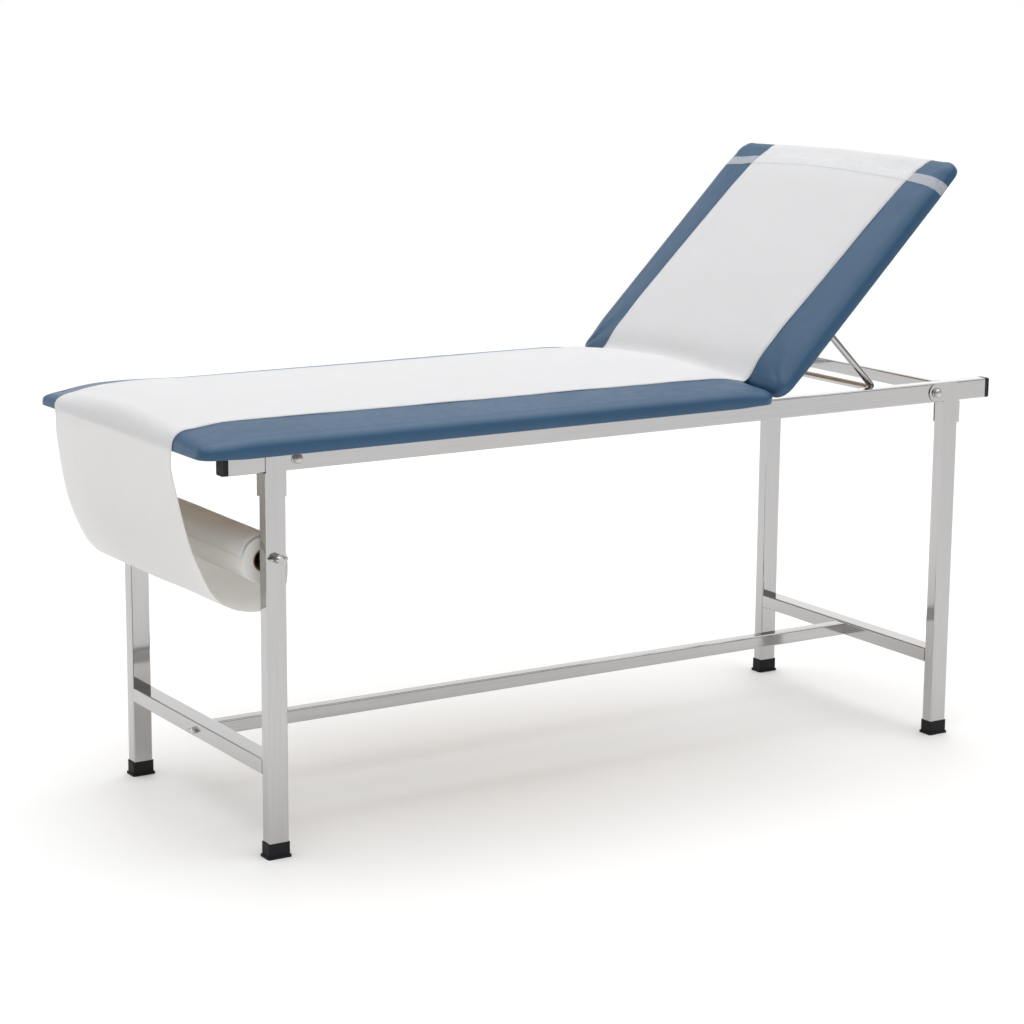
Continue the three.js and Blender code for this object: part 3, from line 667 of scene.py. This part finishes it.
    def ease(self, obj):
        """Shallow unevenness of the stuffing under the vinyl."""
        turn = self.to_world.to_3x3()
        seed = 3.7 if self.label == "seat" else 9.1
        for vertex in obj.data.vertices[: self.top_count + (QUARTER_RINGS + 1) * self.ring_count]:
            local = self.from_world @ vertex.co
            slow = noise.noise(Vector((local.x * 5.0, local.y * 6.5, seed)))
            fine = noise.noise(Vector((local.x * 21.0, local.y * 27.0, 1.3)))
            height = max(0.0, min(1.0, local.z / CROWN))
            vertex.co += turn @ Vector((0, 0, (0.0009 * slow + 0.0003 * fine) * height))
        obj.data.update()

    def over(self, s, y, lift):
        """A world point `lift` above the cover at (s, y)."""
        up = self.to_world.to_3x3() @ Vector((0, 0, 1))
        spot = self.tree.ray_cast(self.to_world @ Vector((s, y, 0.2)), -up)[0]
        return spot + up * lift

    def below(self, x, y):
        """World height of the cover straight below the point (x, y), or None beside it."""
        spot = self.tree.ray_cast(Vector((x, y, 2)), Vector((0, 0, -1)))[0]
        return spot.z if spot else None

    def round_end(self, y, angle, lift):
        """A world point `lift` outside the free end, seen from inside it at an angle above s."""
        centre = Vector((self.length - END_CENTRE[0], y, END_CENTRE[1]))
        local = Vector((math.cos(angle), 0, math.sin(angle)))
        turn = self.to_world.to_3x3()
        spot = self.tree.ray_cast(self.to_world @ (centre + local * 0.3), -(turn @ local))[0]
        return spot + (turn @ local) * lift


def make_pads():
    seat_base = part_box("seat_board")[0].z
    seat_end = HINGE.x - PAD_OFF
    seat = Pad(
        "seat",
        Vector((seat_end, 0, seat_base)),
        Vector((-1, 0, 0)),
        Vector((0, 0, 1)),
        Vector((0, -1, 0)),
        seat_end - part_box("seat_cover")[0].x,
        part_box("seat_cover")[1].y,
        (0.040, 0.0075, 0.006, 0.006, 0.0),
    )
    ahead = Vector((math.cos(TILT), 0, math.sin(TILT)))
    up = Vector((-math.sin(TILT), 0, math.cos(TILT)))
    low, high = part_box("backrest_cover")
    middle = (low.y + high.y) / 2
    origin = HINGE + ahead * PAD_OFF + up * BOARD_DROP + Vector((0, middle, 0))
    length = (high.x - origin.x) / ahead.x
    half = (high.y - low.y) / 2
    traits = (0.026, 0.0, 0.0, 0.013, 0.007)
    back = Pad("backrest", origin, ahead, up, Vector((0, 1, 0)), length, half, traits)
    settle(seat.make(VINYL), "frame", "blue_vinyl", "seat_cover", "seat_foam")
    settle(back.make(VINYL), "backrest", "blue_vinyl", "backrest_cover", "backrest_foam")
    for pad in (seat, back):
        fine = pad.object.modifiers.new("smooth", "SUBSURF")
        fine.levels = fine.render_levels = 1
    return seat, back


# ---- Paper sheet ----
LOOP = [
    (-0.1450, 0.722), (-0.1448, 0.700), (-0.1345, 0.650), (-0.1275, 0.617), (-0.112, 0.558),
    (-0.090, 0.503), (-0.070, 0.470), (-0.045, 0.4505), (-0.014, 0.4405), (0.020, 0.4385),
    (0.047, 0.4455), (0.063, 0.466), (0.069, 0.497), (0.068, 0.530), (0.058, 0.555),
    (0.043, 0.570), (0.020, 0.5765), (-0.004, 0.571), (-0.019, 0.559), (-0.025, 0.540),
]


def smooth_path(points, count):
    """Even Catmull-Rom samples through 2-D points."""
    dense = []
    for i in range(len(points) - 1):
        p0, p1 = points[max(i - 1, 0)], points[i]
        p2, p3 = points[i + 1], points[min(i + 2, len(points) - 1)]
        for k in range(12):
            t = k / 12
            dense.append(
                tuple(
                    0.5 * (2 * b + (c - a) * t + (2 * a - 5 * b + 4 * c - d) * t**2
                           + (3 * b - a - 3 * c + d) * t**3)
                    for a, b, c, d in zip(p0, p1, p2, p3)
                )
            )
    dense.append(points[-1])
    lengths = [0.0]
    for a, b in zip(dense, dense[1:]):
        lengths.append(lengths[-1] + math.dist(a, b))
    samples = []
    for i in range(count):
        want = lengths[-1] * i / (count - 1)
        k = max(1, int(np.searchsorted(lengths, want)))
        k = min(k, len(dense) - 1)
        share = (want - lengths[k - 1]) / max(lengths[k] - lengths[k - 1], 1e-9)
        samples.append(tuple(a + (b - a) * share for a, b in zip(dense[k - 1], dense[k])))
    return samples


def hanging_part(seat, q):
    """From the roll round below and up to the seat pad's foot end."""
    points = []
    path = smooth_path(LOOP, LOOP_POINTS)[::-1]
    for i, (x, z) in enumerate(path):
        drift = LOOP_DRIFT * (1 - i / (len(path) - 1))
        slack = math.sin(math.pi * min(1.0, i / 50))
        sway = 0.0014 * math.sin(3.1 * q + 0.11 * i) + 0.0008 * math.sin(7.3 * q - 0.07 * i)
        spread = -0.0065 * (1 + q) * math.sin(math.pi * min(1.0, max(0.0, (i - 22) / 40)))
        along = LEG_FACE_X + x + sway * slack + spread
        points.append(Vector((along, SHEET_SHIFT + drift + SHEET_HALF * q, z)))
    y = SHEET_SHIFT + SHEET_HALF * q
    for angle in range(-24, 81, 8):
        points.append(seat.round_end(-y, math.radians(angle), 2.2 * SHEET_LIFT))
    return points


def flat_part(pad, q, first, last, count, middle, seed):
    """Along a pad from s = first to s = last. The near edge lifts a little off the vinyl."""
    points = []
    for i in range(count + 1):
        s = first + (last - first) * i / count
        y = middle(s) + SHEET_HALF * q
        ripple = 0.0006 * max(0.0, noise.noise(Vector((s * 6.0, y * 8.0, seed)))) * (1 - abs(q))
        wave = 0.0007 * max(0.0, -q) ** 6 * max(0.0, math.sin(s * 23.0 + seed))
        side = -y if pad.label == "seat" else y - pad.to_world.translation.y
        points.append(pad.over(s, side, SHEET_LIFT + ripple + wave))
    return points


def crease_part(seat, back, start, end, count=26):
    """Down into the crease between the pads and up again, rounded at its lowest point."""
    heights = []
    for i in range(count + 1):
        share = i / count
        x = start.x + (end.x - start.x) * share
        y = start.y + (end.y - start.y) * share
        found = [h for h in (seat.below(x, y), back.below(x, y)) if h]
        heights.append((x, y, max(found) + 1.15 * SHEET_LIFT))
    points = []
    for i in range(1, count):
        near = heights[max(i - 3, 0) : i + 4]
        rounded = sum(h[2] for h in near) / len(near)
        x, y, z = heights[i]
        points.append(Vector((x, y, max(z, rounded))))
    return points


def end_part(back, q, y):
    """Over the backrest's top edge and a short way down behind it."""
    points = []
    wave = 0.0006 * (1 + math.sin(9.0 * q + 1.0))
    for angle in (78, 66, 54, 40, 26, 12, 0):
        lift = SHEET_LIFT + wave * math.cos(math.radians(angle))
        points.append(back.round_end(y, math.radians(angle), lift))
    end = points[-1]
    for k in range(1, 7):
        points.append(end + Vector((0.0012 * math.sin(5 * q + k), 0, -0.0075 * k)))
    return points


def sheet_line(seat, back, q):
    """One lengthwise line of the sheet, q from -1 at the near edge to 1 at the far edge."""
    back_y = back.to_world.translation.y

    def seat_middle(s):
        return SHEET_MIDDLE + SEAT_DRIFT * s / seat.length

    def back_middle(s):
        return SHEET_MIDDLE + BACK_DRIFT * s / back.length

    points = hanging_part(seat, q)
    points += flat_part(seat, q, seat.length - 0.040, CREASE_REACH, 62, seat_middle, 5.0)
    rest = flat_part(back, q, CREASE_REACH, back.length - 0.042, 30, back_middle, 11.0)
    points += crease_part(seat, back, points[-1], rest[0])
    points += rest
    y = back_middle(back.length) + SHEET_HALF * q - back_y
    return points + end_part(back, q, y)


def make_sheet(seat, back):
    columns = SHEET_COLUMNS
    lines = [sheet_line(seat, back, -1 + 2 * c / (columns - 1)) for c in range(columns)]
    rows = len(lines[0])
    vertices = [lines[c][r] for r in range(rows) for c in range(columns)]
    faces = []
    for r in range(rows - 1):
        for c in range(columns - 1):
            k = r * columns + c
            faces.append([k, k + 1, k + columns + 1, k + columns])
    sheet = new_object("paper_sheet", vertices, faces, PAPER)
    shell = sheet.modifiers.new("thickness", "SOLIDIFY")
    shell.thickness = SHEET_THICK
    shell.offset = 0.0
    graph = bpy.context.evaluated_depsgraph_get()
    solid = bpy.data.meshes.new_from_object(sheet.evaluated_get(graph))
    sheet.modifiers.remove(shell)
    sheet.data = solid
    face_out(sheet)
    settle(sheet, None, "exam_paper", "paper_sheet_seat", "paper_sheet_back")
    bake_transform(sheet)


def make_strap(back):
    """The clear band over the paper near the backrest's top, round both sides to the board."""
    lines = []
    for k in range(7):
        s = STRAP_FROM + STRAP_WIDTH * k / 6
        line = [back.to_world @ Vector((s, -back.half - 0.0016, 0.002))]
        line.append(back.to_world @ Vector((s, -back.half - 0.0018, 0.009)))
        for i in range(61):
            y = -back.half + 0.004 + (2 * back.half - 0.008) * i / 60
            lift = STRAP_OVER_PAPER if abs(y) < PAPER_EDGE else STRAP_OVER_VINYL
            line.append(back.over(s, y, lift))
        line.append(back.to_world @ Vector((s, back.half + 0.0018, 0.009)))
        line.append(back.to_world @ Vector((s, back.half + 0.0016, 0.002)))
        lines.append(line)
    columns = len(lines[0])
    vertices = [v for line in lines for v in line]
    faces = []
    for r in range(len(lines) - 1):
        for c in range(columns - 1):
            k = r * columns + c
            faces.append([k, k + 1, k + columns + 1, k + columns])
    strap = new_object("clear_strap", vertices, faces, BAND)
    shell = strap.modifiers.new("thickness", "SOLIDIFY")
    shell.thickness = 0.0005
    shell.offset = 0.0
    settle(strap, "backrest", "clear_strap", "paper_strap")


# ---- Paper roll ----
def make_roll():
    low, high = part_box("paper_roll")
    centre = Vector((ROLL_AXIS.x, (low.y + high.y) / 2, ROLL_AXIS.z))
    outer, half = (high.x - low.x) / 2, (high.y - low.y) / 2
    core_low, core_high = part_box("roll_core")
    core_outer = (core_high.x - core_low.x) / 2
    roll = tube_ring("wound_roll", outer, core_outer + 0.0002, centre, half, ROLL_PAPER, 128)
    settle(roll, "roll", "exam_paper", "paper_roll")
    core = tube_ring("core_tube", core_outer, core_outer - 0.0018, centre, half + 0.0005, CARDBOARD)
    settle(core, "roll", "cardboard_core", "roll_core")


# ---- Metal pieces with rounder shapes than their solids ----
def make_bolts():
    for label in CORNERS:
        low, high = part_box(f"pivot_bolt_{label}")
        outward = -1 if "near" in label else 1
        tip = low.y if outward < 0 else high.y
        centre = Vector(((low.x + high.x) / 2, tip, (low.z + high.z) / 2))
        length = high.y - low.y
        profile = [
            (0, 0), (0.0028, -0.0002), (0.0052, -0.0010), (0.0070, -0.0022), (0.0082, -0.0038),
            (0.0085, -0.0046), (0.0086, -0.0078), (0.0102, -0.0080), (0.0105, -0.0083),
            (0.0105, -0.0091), (0.0102, -0.0094), (0.0048, -0.0094), (0.0048, -length),
            (0, -length),
        ]
        bolt = lathe(f"bolt_{label}", profile, centre, (0, outward, 0), ZINC)
        settle(bolt, "frame", "zinc_hardware", f"pivot_bolt_{label}")


def make_prop():
    low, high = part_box("prop_frame")
    radius = PROP_RADIUS
    half = (high.y - low.y) / 2 - radius
    foot = Vector((2 * PROP_PIVOT.x - HINGE.x, 0, HINGE.z))
    ahead = (foot - PROP_PIVOT).normalized()
    bend = PROP_BEND
    length = (foot - PROP_PIVOT).length
    path, radii = [], []
    for t, thick in ((-0.006, 0.0039), (-0.0045, 0.0056), (-0.003, radius)):
        path.append(PROP_PIVOT + ahead * t + Vector((0, -half, 0)))
        radii.append(thick)
    for k in range(13):
        a = math.radians(90) * k / 12
        along = length - bend + bend * math.sin(a)
        path.append(PROP_PIVOT + ahead * along + Vector((0, -half + bend - bend * math.cos(a), 0)))
        radii.append(radius)
    far = [Vector((p.x, -p.y, p.z)) for p in reversed(path)]
    prop = sweep("prop_bar", path + far, radii + list(reversed(radii)), STEEL["y"])
    settle(prop, "prop", "brushed_steel_tube", "prop_frame")


def make_rod():
    low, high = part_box("roll_rod")
    radius = (high.x - low.x) / 2
    middle = (low + high) / 2
    length = high.y - low.y
    ease = 0.0008
    profile = [(0, 0), (radius - ease, 0), (radius, ease)]
    turns = 14
    pitch = 0.00125
    for k in range(turns):
        profile.append((radius - 0.0006, ease + pitch * (k + 0.5)))
        profile.append((radius, ease + pitch * (k + 1)))
    mirrored = [(r, length - h) for r, h in reversed(profile)]
    start = Vector((middle.x, low.y, middle.z))
    rod = lathe("roll_bar", profile + mirrored, start, (0, 1, 0), STEEL["y"], 32)
    settle(rod, "frame", "brushed_steel_tube", "roll_rod")


# ---- CAD pieces that stay ----
def dress(node, material, edge=0.0, segments=2):
    obj = NODES[node]
    obj.data.materials.clear()
    obj.data.materials.append(material)
    sharpen(obj)
    if edge:
        bevel(obj, edge, segments)


def dress_frame():
    for side in ("near", "far"):
        dress(f"side_rail_{side}", STEEL["x"], 0.0005)
        dress(f"prop_rack_{side}", STEEL["x"], 0.0004)
        dress(f"prop_bracket_{side}", ZINC, 0.0004)
        dress(f"prop_pin_{side}", ZINC, 0.0004)
        dress(f"roll_wing_nut_{side}", ZINC, 0.0007)
    for end in ("foot", "hinge", "head"):
        dress(f"cross_tube_{end}", STEEL["y"], 0.0005)
    for end in ("foot", "head"):
        dress(f"low_bar_{end}", STEEL["y"], 0.0005)
        dress(f"stretcher_plug_{end}", ZINC, 0.0004)
        dress(f"stretcher_wing_screw_{end}", ZINC, 0.0007)
    dress("stretcher", STEEL["x"], 0.0005)
    for label in CORNERS:
        dress(f"leg_{label}", STEEL["z"], 0.0005)
        dress(f"rubber_foot_{label}", RUBBER, 0.0012, 3)
        dress(f"leg_bracket_{label}", STEEL["z"], 0.0006)
        dress(f"pivot_nut_{label}", ZINC, 0.0005)
        dress(f"rail_end_cap_{label}", PLASTIC, 0.0012, 3)
    for node in ("hinge_fixed_leaf", "hinge_moving_leaf", "hinge_pin"):
        dress(node, ZINC, 0.0003)
    for node in ("seat_board", "backrest_board"):
        dress(node, PLYWOOD, 0.0008)


# ---- Stage ----
def make_floor():
    size = 60.0
    n = Nodes("floor_white")
    white = [(0.3, (0.93, 0.93, 0.93)), (0.7, (0.94, 0.94, 0.94))]
    n.to(n.ramp(n.noise(0.8, 2.0), white), "Base Color")
    n.set(Roughness=0.6, Specular_IOR_Level=0.2)
    corners = [(-size, -size, 0), (size, -size, 0), (size, size, 0), (-size, size, 0)]
    floor = new_object("floor", corners, [[0, 1, 2, 3]], n.material, smooth=False)


def area_light(name, place, target, size, power):
    data = bpy.data.lights.new(name, "AREA")
    data.shape = "RECTANGLE"
    data.size, data.size_y = size
    data.energy = power
    lamp = bpy.data.objects.new(name, data)
    lamp.location = place
    lamp.rotation_euler = (Vector(target) - Vector(place)).to_track_quat("-Z", "Y").to_euler()
    bpy.context.scene.collection.objects.link(lamp)


def make_world():
    """A soft studio: bright above and behind the table, dimmer near the camera and the foot end."""
    world = bpy.data.worlds.new("studio")
    world.use_nodes = True
    tree = world.node_tree
    coords = tree.nodes.new("ShaderNodeTexCoord")
    parts = tree.nodes.new("ShaderNodeSeparateXYZ")
    tree.links.new(coords.outputs["Generated"], parts.inputs["Vector"])

    def eased(axis, low, high, start, stop):
        node = tree.nodes.new("ShaderNodeMapRange")
        node.interpolation_type = "SMOOTHSTEP"
        node.inputs["From Min"].default_value = low
        node.inputs["From Max"].default_value = high
        node.inputs["To Min"].default_value = start
        node.inputs["To Max"].default_value = stop
        tree.links.new(parts.outputs[axis], node.inputs["Value"])
        return node.outputs["Result"]

    def combine(operation, first, second):
        node = tree.nodes.new("ShaderNodeMath")
        node.operation = operation
        tree.links.new(first, node.inputs[0])
        tree.links.new(second, node.inputs[1])
        return node.outputs["Value"]

    above = eased("Z", 0.40, 0.95, 0.33, 1.95)
    behind = combine("MULTIPLY", eased("Y", 0.0, 0.8, 0.0, 1.0), eased("Z", 0.15, 0.5, 0.95, 0.0))
    total = combine("MULTIPLY", combine("ADD", above, behind), eased("X", -1, 1, 0.80, 1.12))
    light = tree.nodes["Background"]
    tree.links.new(total, light.inputs["Strength"])
    light.inputs["Color"].default_value = (1, 1, 1, 1)
    plain = tree.nodes.new("ShaderNodeBackground")
    plain.inputs["Color"].default_value = (1, 1, 1, 1)
    path = tree.nodes.new("ShaderNodeLightPath")
    mix = tree.nodes.new("ShaderNodeMixShader")
    tree.links.new(path.outputs["Is Camera Ray"], mix.inputs["Fac"])
    tree.links.new(light.outputs["Background"], mix.inputs[1])
    tree.links.new(plain.outputs["Background"], mix.inputs[2])
    tree.links.new(mix.outputs["Shader"], tree.nodes["World Output"].inputs["Surface"])
    bpy.context.scene.world = world


def make_camera():
    """The camera stands 2.05 m before the foot legs, 4.34 m to the near side, 1.57 m up."""
    yaw, pitch, roll = math.radians(32.239), math.radians(11.716), math.radians(0.444)
    level = math.cos(pitch)
    forward = Vector((math.sin(yaw) * level, math.cos(yaw) * level, -math.sin(pitch)))
    right = Vector((math.cos(yaw), -math.sin(yaw), 0))
    up = right.cross(forward)
    aside = right * math.cos(roll) + up * math.sin(roll)
    above = up * math.cos(roll) - right * math.sin(roll)
    camera = bpy.data.objects.new("camera", bpy.data.cameras.new("camera"))
    camera.data.sensor_width = 36.0
    camera.data.lens = 94.46
    camera.data.clip_end = 500
    turn = Matrix([[aside[r], above[r], -forward[r]] for r in range(3)]).to_4x4()
    place = Vector((LEG_FACE_X - 2.05115, -4.34411, 1.56645))
    camera.matrix_world = Matrix.Translation(place) @ turn
    bpy.context.scene.collection.objects.link(camera)
    bpy.context.scene.camera = camera


dress_frame()
make_bolts()
make_prop()
make_rod()
make_roll()
seat_pad, back_pad = make_pads()
make_sheet(seat_pad, back_pad)
make_strap(back_pad)
make_floor()
make_world()
area_light("key", (-2.2, -2.6, 3.6), (0, 0, 0.6), (2.6, 2.6), 14)
area_light("top", (0.4, 0.8, 3.4), (0.2, 0, 0.7), (3.2, 2.4), 12)
make_camera()
bpy.context.scene.view_settings.view_transform = "Standard"
